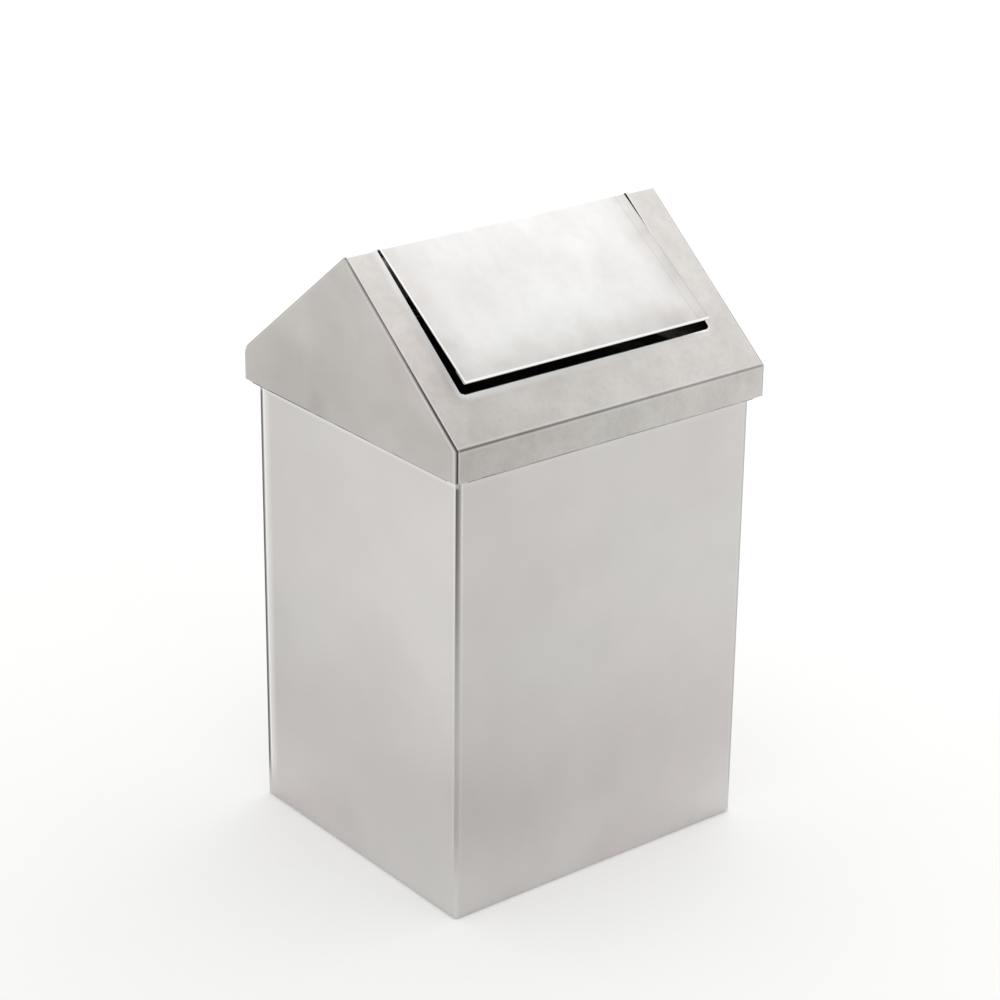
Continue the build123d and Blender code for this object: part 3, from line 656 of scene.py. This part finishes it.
def body_patches(sizes):
    """The wrap: the rounded outline in plan, carried up to the rim and folded in.

    Its edges meet at the back seam, over a spot-welded lap strip.
    """
    half = (BODY_HIGH - BODY_LOW) / 2
    edges = sizes.seam_place + sizes.seam_gap / 2, sizes.seam_place - sizes.seam_gap / 2
    corners = [(half.x, half.y), (half.x, -half.y), (-half.x, -half.y), (-half.x, half.y)]
    plan = Section([(edges[0], half.y), *corners, (edges[1], half.y)], [sizes.body_bend] * 4)
    rim, foot = BODY_HIGH.z, BODY_LOW.z
    welds = np.arange(foot + sizes.weld_pitch, rim - sizes.rim_hem, sizes.weld_pitch)
    reach = sizes.weld_radius * np.linspace(-WELD_REACH, WELD_REACH, ROUND_STEPS + 1)
    around = plan.stations(plan.length - edges[1] + reach)
    highlight_rows = ROOF_LOW.z + UNDER_SKIRT_HIGHLIGHT * np.array([-1, -0.7, 0, 0.2])
    up = spread(foot, rim - sizes.hem_radius, PANEL_CELL, np.r_[(welds[:, None] + reach).ravel(), highlight_rows])
    place, outward, corner, past = plan.at(around)
    up_share = (2 * up - foot - rim) / (rim - foot)
    at_side = np.abs(outward[:, 0]) > np.abs(outward[:, 1])
    across = np.where(at_side, place[:, 1] / half.y, place[:, 0] / half.x)
    spring = swell(across, up_share[:, None], sizes.body_spring)
    from_weld = np.min(np.abs(up[:, None] - welds), axis=1)[:, None]
    aside = np.where(place[:, 1] > half.y - TOUCH, place[:, 0], FAR)
    distance = np.hypot(aside, from_weld) / sizes.weld_radius
    dimple = 1 - ramp(distance, *WELD_DIMPLE)
    ring = 1 - ramp(distance, *WELD_HEAT)
    stand = spring - dimple * sizes.weld_depth
    wall = place + outward * stand[..., None]
    wall = points_at(wall[..., 0], wall[..., 1], up[:, None])
    height = (up[:, None] - foot) / (rim - foot)
    # Painted shade and painted highlights along the upright bends, stronger higher up the front left.
    front_left = sum(strength * ramp(height, *rise) for strength, *rise in FRONT_LEFT_SHADES)
    back_left = ramp(height, *BACK_LEFT_RISE)
    painted_shade = np.choose(corner, (*(share * back_left for share in RIGHT_SHADES), front_left, back_left))
    lines = BODY_LINES[corner, (past > 0).astype(int)]
    marks = bend_marks(past, plan.arcs[corner] / 2, BODY_REACH[corner], BODY_LEAN[corner], painted_shade, lines)
    # A painted highlight on the body just under the skirt.
    under_skirt_highlight = ramp(up, highlight_rows[0], highlight_rows[1]) * (1 - ramp(up, highlight_rows[2], highlight_rows[3]))
    marks["burnish"] = np.maximum(marks["burnish"], under_skirt_highlight[:, None] * np.where(at_side, *UNDER_SKIRT_SHINE))
    # Painted shading across the panels, half as strong at the foot.
    film = np.interp(place[:, 0], (-half.x, half.x), FRONT_SHADING)
    film += outward[:, 0] ** 2 * (np.interp(place[:, 1], (-half.y, half.y), SIDE_SHADING) - film)
    marks["film"] = film * (FOOT_SHADING + (1 - FOOT_SHADING) * ramp(height, *FOOT_SHADING_RISE))
    strip_x = np.linspace(-LAP_HALF, LAP_HALF, LAP_GRID[0])
    strip_z = np.linspace(foot, rim - sizes.rim_hem, LAP_GRID[1])[:, None]
    strip = points_at(strip_x, half.y - sizes.sheet - LAP_AIR, strip_z)
    edge = points_at(*place.T, rim - sizes.hem_radius)
    rim_fold = hem(edge, (0, 0, 1), points_at(*outward.T, 0.0), sizes.hem_radius, sizes.rim_hem)
    rim_fold["marks"]["film"] = marks["film"][-1]
    return [patch(wall, (0, 1, 0), weld=ring, **marks), rim_fold, patch(strip, (0, 1, 0))]


class BIN_OT_body(bpy.types.Operator):
    """Makes the body's wrap and finishes the pan, feet and rivets"""

    bl_idname = "swing_bin.body"
    bl_label = "Bin body"
    bl_options = {"REGISTER", "UNDO"}

    def execute(self, context):
        settings = context.scene.swing_bin
        sizes, colours = settings.sizes, settings.colours
        marks = (panel_painted_shading, painted_foot_shade, heat_ring, weld_print)
        steel = bare_steel("Cold-rolled stainless, body", colours.body, BODY_LOOK, *marks)
        make_sheet("body_wrap", body_patches(sizes), sizes.sheet, "bin", "body_steel", steel, "body_shell")
        dress(bare_steel("Mill-finish steel, pan", colours.inner, MILL_LOOK), "base_pan")
        dress(fitting("Black rubber, moulded", colours.rubber, RUBBER), "foot_front", "foot_back")
        dress(fitting("Polished steel, rivets", colours.bright, BRIGHT), "foot_rivets")
        return {"FINISHED"}


# ==== Hood ====


def over_ridge(sizes, pitch):
    """How far a sharp ridge stands over its round bend."""
    return sizes.ridge * (1 / math.cos(pitch) - 1)


def ridge_pitch(sizes, rise, run, hem_radius=0.0):
    """Pitch of a wing whose rounded ridge is `rise` above its end, which may be hemmed."""
    pitch = math.atan2(rise, run)
    for _ in range(PITCH_PASSES):
        pitch = math.atan2(rise + over_ridge(sizes, pitch) - 2 * hem_radius * math.cos(pitch), run)
    return pitch


def hood_section(sizes, inset, radii, foot):
    """The hood's outline across the ridge, inset by a distance: up the skirt, over the ridge and down again."""
    pitch = ridge_pitch(sizes, ROOF_HIGH.z - ROOF_LOW.z - sizes.skirt, ROOF_HIGH.y)
    half = ROOF_HIGH.y - inset
    top = ROOF_HIGH.z + over_ridge(sizes, pitch) - inset / math.cos(pitch)
    eave = top - half * math.tan(pitch)
    return Section([(-half, foot), (-half, eave), (0, top), (half, eave), (half, foot)], radii)


def rake_shade(y, height):
    """Painted shade in the gables' joint with the roof: darkest low on the front."""
    ridge_to_eave = (ROOF_HIGH.z - height) / (ROOF_HIGH.z - ROOF_LOW.z)
    low, high = RAKE_SHADE
    front = low + (high - low) * ramp(ridge_to_eave, *RAKE_DARKENS)
    return front + (RAKE_BACK_SHADE - front) * ramp(y, -RAKE_TURN, 0)


def eave_fade(x):
    """The painted shade of the eave and the skirt weakens towards the right."""
    return 1 - EAVE_FADE * (1 + x / ROOF_HIGH.x) / 2


def roof_patches(sizes):
    """The roof's flat blank, with its window, folded along the hood's outline.

    A point of it is x along the ridge and a length round the outline. The window's edges are lines of the grid, and
    grids from arc to square fill its round corners.
    """
    foot = ROOF_LOW.z + sizes.hem_radius
    outline = hood_section(sizes, 0.0, (sizes.front_eave, sizes.ridge, sizes.back_eave), foot)
    ridge_at = outline.bend_starts[1] + outline.arcs[1] / 2
    half_turn = outline.arcs[1] / 2 / sizes.ridge
    # The round ridge is this much shorter than the sharp one.
    cut_short = sizes.ridge * (math.tan(half_turn) - half_turn)
    window_end = FLAP_HIGH.y / math.cos(flap_pitch(sizes)) + sizes.flap_shortfall
    window_half = FLAP_HIGH.x + sizes.flap_gap
    corner = sizes.window_corner
    hem_end = window_half - corner
    square = corner * np.tan(np.linspace(0, math.pi / 4, ROUND_STEPS // 2 + 1))
    width = ROOF_HIGH.x
    shine = window_half + np.array([WINDOW_CUT, 0.5 * EDGE_SHINE, EDGE_SHINE])
    dull = DEBURRED * np.array([0.4, 0.7, 1])
    ends = width - np.r_[0.5 * CUT_SHADE, CUT_SHADE, CUT_LINE]
    skirt_end = GABLE_HIGH.x - sizes.skirt_hem_end
    stops = np.r_[hem_end + square, shine, window_half + dull, ends, skirt_end]
    x = spread(-width, width, PANEL_CELL, np.r_[-stops, stops])
    rim = sizes.hem_radius + np.r_[0, 0.5 * EDGE_SHINE, EDGE_SHINE, dull]
    down = np.r_[window_end - corner + square, window_end + rim] - cut_short
    around = outline.stations(np.r_[ridge_at - down, ridge_at + down, SKIRT_ROWS, outline.length - SKIRT_ROWS])

    def folded(x, along):
        """Points, outward directions and marks at places of the blank."""
        place, outward, bend, past = outline.at(along)
        # Painted shade and painted highlights round the roof's bends.
        painted_shade = ROOF_SHADE[bend] * eave_fade(x)
        marks = bend_marks(past, outline.arcs[bend] / 2, BEND_REACH, 0.0, painted_shade, ROOF_LINE, ROOF_SHINE[bend])
        # Distance outside the window's rounded outline, or its hem.
        beside = np.abs(x) - hem_end
        below = np.abs(along - ridge_at) + cut_short - window_end + corner
        off_edge = np.hypot(np.maximum(beside, 0), np.maximum(below, 0)) - corner
        off_edge = off_edge - sizes.hem_radius * (beside < TOUCH)
        at_side = ramp(beside - below, -corner, corner)
        shine = (1 - at_side * (1 - WINDOW_SIDE_SHINE)) * (1 - ramp(off_edge, 0, EDGE_SHINE))
        # Painted shade and a painted highlight at the sheet's cut ends, where the gables meet them.
        joint = np.where(x < 0, *RAKE_SIDES) * rake_shade(place[..., 0], place[..., 1])
        off_end = width - np.abs(x)
        shaded = np.where(x < 0, *CUT_SHADE)
        line = ramp(off_end, 0, shaded) * (1 - ramp(off_end, shaded, CUT_LINE))
        # The window's sides carry painted shade on the cut and a painted highlight beside it; its ground edge carries
        # a painted highlight too.
        cut = at_side * (1 - ramp(off_edge, 0, WINDOW_CUT))
        dark = np.maximum(joint * (1 - ramp(off_end, 0, shaded)), WINDOW_CUT_SHADE * cut)
        ground = 1 - ramp(off_edge, 0, DEBURRED)
        painted_edge_shading, matt = (np.interp(x, (-window_half, window_half), pair) for pair in (GROUND_SHINE, GROUND_MATT))
        bright = np.maximum(np.maximum(shine, RAKE_SHINE * joint * line), painted_edge_shading * ground)
        marks["fold"] = np.maximum(marks["fold"], dark)
        marks["burnish"] = np.maximum(marks["burnish"], bright) * (1 - cut)
        marks["deburred"] = matt * ground
        return points_at(x, place[..., 0], place[..., 1]), points_at(0.0, outward[..., 0], outward[..., 1]), marks

    points, _, marks = folded(x[None, :], around[:, None])
    aside = np.abs(x[1:] + x[:-1]) / 2
    down = np.abs((around[1:, None] + around[:-1, None]) / 2 - ridge_at) + cut_short
    opening = (aside < window_half) & (down < window_end)
    relief = (aside < hem_end) & (down < window_end + sizes.hem_radius)
    grids = [patch(points, (0, -1, 0), ~(opening | relief), **marks)]
    turn = np.linspace(0, math.pi / 2, ROUND_STEPS + 1)
    towards = np.stack((np.cos(turn), np.sin(turn)), -1)
    arc = towards * corner
    share = np.linspace(0, 1, FILL_ROWS + 1)[:, None, None]
    fill = arc + share * (arc / np.max(towards, axis=1, keepdims=True) - arc)
    hem_x = x[np.abs(x) < hem_end + TOUCH]
    skirt_x = x[np.abs(x) < skirt_end + TOUCH]
    for end in BOTH:
        for side in BOTH:
            along = ridge_at + end * (window_end - corner + fill[..., 1] - cut_short)
            point, outward, marks = folded(side * (hem_end + fill[..., 0]), along)
            grids.append(patch(point, outward[0, 0], **marks))
        edge_at = np.full_like(hem_x, ridge_at + end * (window_end + sizes.hem_radius - cut_short))
        point, outward, _ = folded(hem_x, edge_at)
        inward = np.cross((end, 0, 0), outward[0])
        grids.append(hem(point, inward, outward, sizes.hem_radius, sizes.window_hem, shine=1.0))
        skirt = points_at(skirt_x, end * ROOF_HIGH.y, foot)
        painted_shade = SKIRT_SHADE * eave_fade(skirt_x)
        grids.append(hem(skirt, (0, 0, -1), (0, end, 0), sizes.hem_radius, sizes.skirt_hem, painted_shade=painted_shade))
    return grids


def gable_painted_shading(points):
    """Painted shade on a gable: strong low down at the back, weaker at the edge, gone halfway up."""
    y, z = points[..., 1], points[..., 2]
    half, eave = GABLE_HIGH.y, ROOF_LOW.z + EAVE_UP
    back = ramp(y / half, *GABLE_SHADING_IN) * (1 - GABLE_SHADING_LOSS * ramp(y / half, *GABLE_SHADING_OUT))
    return GABLE_SHADING * back * (1 - ramp(z, eave, eave + GABLE_SHADING_FADE))


def gable_patches(sizes, side):
    """A gable: rings shrinking to its middle, a quarter-round bend along its top and sides, and a flange.

    The panel lies in by dish*(1 - ring^2)^2. The bend at angle a stands r*sin(a) outside the panel's flat edge.
    """
    foot = GABLE_LOW.z + sizes.hem_radius
    inset = sizes.sheet + sizes.gable_bend
    radii = [sizes.gable_corner - sizes.gable_bend] * 2 + [sizes.back_eave - inset]
    rake = hood_section(sizes, inset, radii, foot)
    place, outward, _, _ = rake.at(rake.stations())
    joint = RAKE_SIDES[side > 0] * rake_shade(*place.T)
    hem_ends = np.array(BOTH) * (ROOF_HIGH.y - sizes.skirt_hem_end)
    bottom = spread(place[0, 0], place[-1, 0], PANEL_CELL, hem_ends)[::-1]
    loop = np.concatenate((place, np.column_stack((bottom[1:], np.full(len(bottom) - 1, foot)))))
    middle = np.array([0.0, (GABLE_LOW.z + GABLE_HIGH.z) / 2])
    ring = np.r_[DISH_RINGS, 1 - BESIDE[::-1] / (GABLE_HIGH.z - middle[1]), 1.0][:, None]
    flat = middle + ring[..., None] * (loop - middle)
    face = side * GABLE_HIGH.x
    dish = sizes.gable_dish * (1 - ring**2) ** 2
    panel = points_at(face - side * dish, flat[..., 0], flat[..., 1])
    bend = np.linspace(0, math.pi / 2, ROUND_STEPS + 1)[:, None]
    stand = np.concatenate((np.sin(bend), [[1.0]] * FLANGE_ROWS)) * sizes.gable_bend
    depth = sizes.gable_bend * (1 - np.cos(bend))
    flange = np.linspace(sizes.gable_bend, sizes.gable_flange, FLANGE_ROWS + 1)[1:, None]
    round_it = place + outward * stand[..., None]
    band = points_at(face - side * np.concatenate((depth, flange)), round_it[..., 0], round_it[..., 1])
    share = np.concatenate((bend / (math.pi / 2), [[1.0]] * FLANGE_ROWS))
    # Painted shade and painted highlights along the joint with the roof, and a painted highlight round the panel's
    # rim.
    dark = joint * ramp(share, *RAKE_DARK)
    bright = joint * RAKE_SHINE * (1 - ramp(share, *RAKE_BRIGHT))
    rim = np.r_[joint, np.zeros(len(bottom) - 1)] * RAKE_SHINE * ramp(ring, RAKE_RIM, 1.0)
    hem_y = bottom[np.abs(bottom) < hem_ends[1] + TOUCH]
    edge = points_at(face, hem_y, foot)
    painted_shade = np.interp(hem_y, hem_ends, SIDE_SKIRT_SHADE)
    lower_hem = hem(edge, (0, 0, -1), (side, 0, 0), sizes.hem_radius, sizes.skirt_hem, painted_shade=painted_shade)
    lower_hem["marks"]["film"] = gable_painted_shading(lower_hem["points"])
    return [
        patch(panel, (side, 0, 0), burnish=rim, film=gable_painted_shading(panel)),
        patch(band, (side, 0, 0), fold=dark, burnish=bright, film=gable_painted_shading(band)),
        lower_hem,
    ]


class BIN_OT_hood(bpy.types.Operator):
    """Makes the hood's roof and gables and finishes its rails, brackets and bushes"""

    bl_idname = "swing_bin.hood"
    bl_label = "Hood"
    bl_options = {"REGISTER", "UNDO"}

    def execute(self, context):
        settings = context.scene.swing_bin
        sizes, colours = settings.sizes, settings.colours
        steel = bare_steel("Cold-rolled stainless, roof", colours.hood, ROOF_LOOK, eave_painted_shading)
        make_sheet("roof_skin", roof_patches(sizes), sizes.sheet, "hood", "hood_steel", steel, "roof_sheet")
        steel = bare_steel("Cold-rolled stainless, gables", colours.gable, GABLE_LOOK, panel_painted_shading)
        for side, name in zip(BOTH, ("left", "right")):
            grids = gable_patches(sizes, side)
            make_sheet(f"gable_skin_{name}", grids, sizes.sheet, "hood", "hood_steel", steel, f"gable_{name}")
        mill = bare_steel("Mill-finish steel, rails and brackets", colours.inner, MILL_LOOK)
        dress(mill, "seat_rail", "axle_bracket")
        dress(fitting("Natural nylon, moulded", colours.nylon, NYLON), "axle_bush")
        return {"FINISHED"}


# ==== Flap ====


def flap_pitch(sizes):
    """Pitch of the flap's wings, from the frame's box."""
    return ridge_pitch(sizes, FLAP_HIGH.z - FLAP_LOW.z, FLAP_HIGH.y, sizes.hem_radius)


def flap_patches(sizes):
    """The flap's blank bent once along the ridge, with its free edges folded under.

    Each wing stands out by crown*(1 - across^2)*(1 - up^2).
    """
    pitch = flap_pitch(sizes)
    top = FLAP_HIGH.z + over_ridge(sizes, pitch)
    reach = FLAP_HIGH.y - sizes.hem_radius * math.cos(pitch)
    low = top - reach * math.tan(pitch)
    wings = Section([(-reach, low), (0, top), (reach, low)], [sizes.ridge])
    half = FLAP_HIGH.x
    rim = EDGE_SHINE * np.array([0.3, 0.6, 1])
    crease = FLAP_CREASE + EDGE_SHINE * np.array([-0.6, 0, 0.6])
    x = spread(-half, half, PANEL_CELL, np.r_[rim - half, half - rim, half - crease])
    around = wings.stations(np.r_[rim, wings.length - rim])
    place, outward, _, past = wings.at(around)
    from_ridge = np.abs(around - wings.length / 2) / (wings.length / 2)
    crown = swell(x / half, (2 * from_ridge - 1)[:, None], sizes.flap_crown)
    wing = place[:, None] + outward[:, None] * crown[..., None]
    points = points_at(x, wing[..., 0], wing[..., 1])
    to_tip = (wings.length / 2 * (1 - from_ridge))[:, None]
    to_edge = np.minimum(half - np.abs(x), to_tip)
    # Grime and painted shade towards the free edges, less near the ridge on the left.
    grimy = np.where(x < 0, np.clip(from_ridge, RIDGE_GRIME, 1)[:, None], 1)
    handling = (1 - ramp(to_edge, 0.0, GRIME_AND_SHADE_REACH)) * grimy
    # A painted highlight on the ridge and along the left and free edges; painted shade along the right edge and a
    # faint crease.
    marks = bend_marks(past[:, None], wings.arcs[0] / 2, BEND_REACH, 0.0, 0.0, 0.0, FLAP_RIDGE_SHINE)
    shine = 1 - ramp(np.minimum(half + x, 2 * to_tip), 0, EDGE_SHINE)
    marks["burnish"] = np.maximum(marks["burnish"], shine)
    off_right = half - x
    painted_edge_shading = FLAP_RIGHT_SHADE * (1 - ramp(off_right, 0, EDGE_SHINE))
    creased = FLAP_CREASE_SHADE * (1 - ramp(np.abs(off_right - FLAP_CREASE), 0, 0.6 * EDGE_SHINE))
    marks["fold"] = painted_edge_shading + creased
    grids = [patch(points, (0, -1, 1), handling=handling, **marks)]
    for end in BOTH:
        slope = np.array([0.0, end * math.cos(pitch), -math.sin(pitch)])
        out = np.array([0.0, end * math.sin(pitch), math.cos(pitch)])
        edge = points_at(x, end * reach, low)
        grids.append(hem(edge, slope, out, sizes.hem_radius, sizes.flap_hem, shine=1.0))
    return grids


class BIN_OT_flap(bpy.types.Operator):
    """Makes the swing flap's sheet and finishes its axle, lugs and balance bars"""

    bl_idname = "swing_bin.flap"
    bl_label = "Swing flap"
    bl_options = {"REGISTER", "UNDO"}

    def execute(self, context):
        settings = context.scene.swing_bin
        sizes, colours = settings.sizes, settings.colours
        steel = bare_steel("Cold-rolled stainless, flap", colours.flap, FLAP_LOOK, grimy_shaded_edges)
        make_sheet("flap_skin", flap_patches(sizes), sizes.sheet, "flap", "flap_steel", steel, "flap_shell")
        dress(bare_steel("Mill-finish steel, lugs and bars", colours.inner, MILL_LOOK), "flap_lug", "balance_bar")
        dress(fitting("Polished steel, axle", colours.bright, BRIGHT), "axle_rod", "axle_clip")
        dress(fitting("Natural nylon, spacers", colours.nylon, NYLON), "axle_spacer")
        return {"FINISHED"}


# ==== Studio ====


def seen_directly(add):
    """1 where the camera or a reflection sees the surface, and 0 where it only lights others."""
    camera, glossy, through = (add("LightPath", {}, f"Is {ray} Ray") for ray in ("Camera", "Glossy", "Transmission"))
    seen = add("Math", {0: camera, 1: glossy}, operation="MAXIMUM")
    return add("Math", {0: seen, 1: through}, operation="MAXIMUM")


def floor_finish(base):
    """Matt paper, topped up towards white where it is seen."""
    material, add, where = new_material("Matt paper, floor")
    fleck = patches_of(add, where, PAPER_CLOUD)
    tone = add("Mix", {0: fleck, 6: base, 7: PAPER_SHADE}, 2, **MIXED)
    top_up = add("Math", {0: seen_directly(add), 1: FLOOR_TOP_UP}, operation="MULTIPLY")
    paper = add("BsdfDiffuse", {"Color": tone})
    both = add("AddShader", {0: paper, 1: add("Emission", {"Strength": top_up})})
    add("OutputMaterial", {"Surface": both})
    return material


def make_floor(radius, material):
    """A disc: point (ring, turn) is at ring^2*radius out, all the way round."""
    ring = np.linspace(0, 1, FLOOR_GRID[0])[:, None]
    turn = np.linspace(0, 2 * math.pi, FLOOR_GRID[1])
    out = ring**2 * radius
    points = points_at(out * np.cos(turn), out * np.sin(turn), 0.0)
    floor = bpy.data.objects.new("floor", sheet_mesh("floor", [patch(points, (0, 0, 1))]))
    floor.data.materials.append(material)
    bpy.context.scene.collection.objects.link(floor)


def make_camera(studio):
    """A camera that looks at the bin's middle."""
    a, e = studio.camera_azimuth, studio.camera_elevation
    back = Vector((math.sin(a) * math.cos(e), -math.cos(a) * math.cos(e), math.sin(e)))
    target = Vector((studio.camera_aside, 0, studio.camera_height))
    camera = bpy.data.objects.new("camera", bpy.data.cameras.new("camera"))
    camera.data.sensor_width = 36
    camera.data.lens = studio.camera_lens
    bpy.context.scene.collection.objects.link(camera)
    turned = back.to_track_quat("Z", "Y").to_matrix().to_4x4() @ Matrix.Rotation(studio.camera_roll, 4, "Z")
    camera.matrix_world = Matrix.Translation(target + back * studio.camera_distance) @ turned
    bpy.context.scene.camera = camera


class BIN_OT_studio(bpy.types.Operator):
    """Makes the floor, the soft light and the camera"""

    bl_idname = "swing_bin.studio"
    bl_label = "Studio"
    bl_options = {"REGISTER", "UNDO"}

    def execute(self, context):
        scene = context.scene
        studio = scene.swing_bin.studio
        make_floor(studio.floor_radius, floor_finish(scene.swing_bin.colours.floor))
        scene.view_settings.view_transform = "Standard"
        world = bpy.data.worlds.new("studio walls")
        world.use_nodes = True
        world.node_tree.nodes.clear()
        add = partial(add_node, world.node_tree)
        strength = add("MapRange", {"Value": seen_directly(add), "To Min": studio.sky, "To Max": 1.0})
        walls = add("Background", {"Color": WHITE, "Strength": strength})
        add("OutputWorld", {"Surface": walls})
        scene.world = world
        lamp = bpy.data.lights.new("overhead softbox", "AREA")
        lamp.energy = studio.softbox
        lamp.shape = "SQUARE"
        lamp.size = studio.softbox_size
        softbox = bpy.data.objects.new("overhead softbox", lamp)
        scene.collection.objects.link(softbox)
        softbox.matrix_world = Matrix.Translation(SOFTBOX_PLACE)
        make_camera(studio)
        return {"FINISHED"}


# ==== Panel ====


class BIN_PT_panel(bpy.types.Panel):
    """Lists the bin's pieces and settings"""

    bl_idname = "BIN_PT_panel"
    bl_label = "Swing-lid bin"
    bl_space_type = "VIEW_3D"
    bl_region_type = "UI"
    bl_category = "Bin"

    def draw(self, context):
        settings = context.scene.swing_bin
        for operator in OPERATORS:
            self.layout.operator(operator.bl_idname)
        for group in (settings.sizes, settings.colours, settings.studio):
            box = self.layout.box()
            for name in type(group).__annotations__:
                box.prop(group, name)


OPERATORS = (BIN_OT_studio, BIN_OT_body, BIN_OT_hood, BIN_OT_flap)
CLASSES = (BinSheetSizes, BinColours, BinStudio, BinSettings, *OPERATORS, BIN_PT_panel)


def register():
    for kind in CLASSES:
        bpy.utils.register_class(kind)
    bpy.types.Scene.swing_bin = PointerProperty(type=BinSettings)


def unregister():
    del bpy.types.Scene.swing_bin
    for kind in reversed(CLASSES):
        bpy.utils.unregister_class(kind)


def main():
    """Makes the studio and every piece."""
    register()
    bpy.ops.swing_bin.studio()
    bpy.ops.swing_bin.body()
    bpy.ops.swing_bin.hood()
    bpy.ops.swing_bin.flap()


if __name__ == "__main__":
    main()
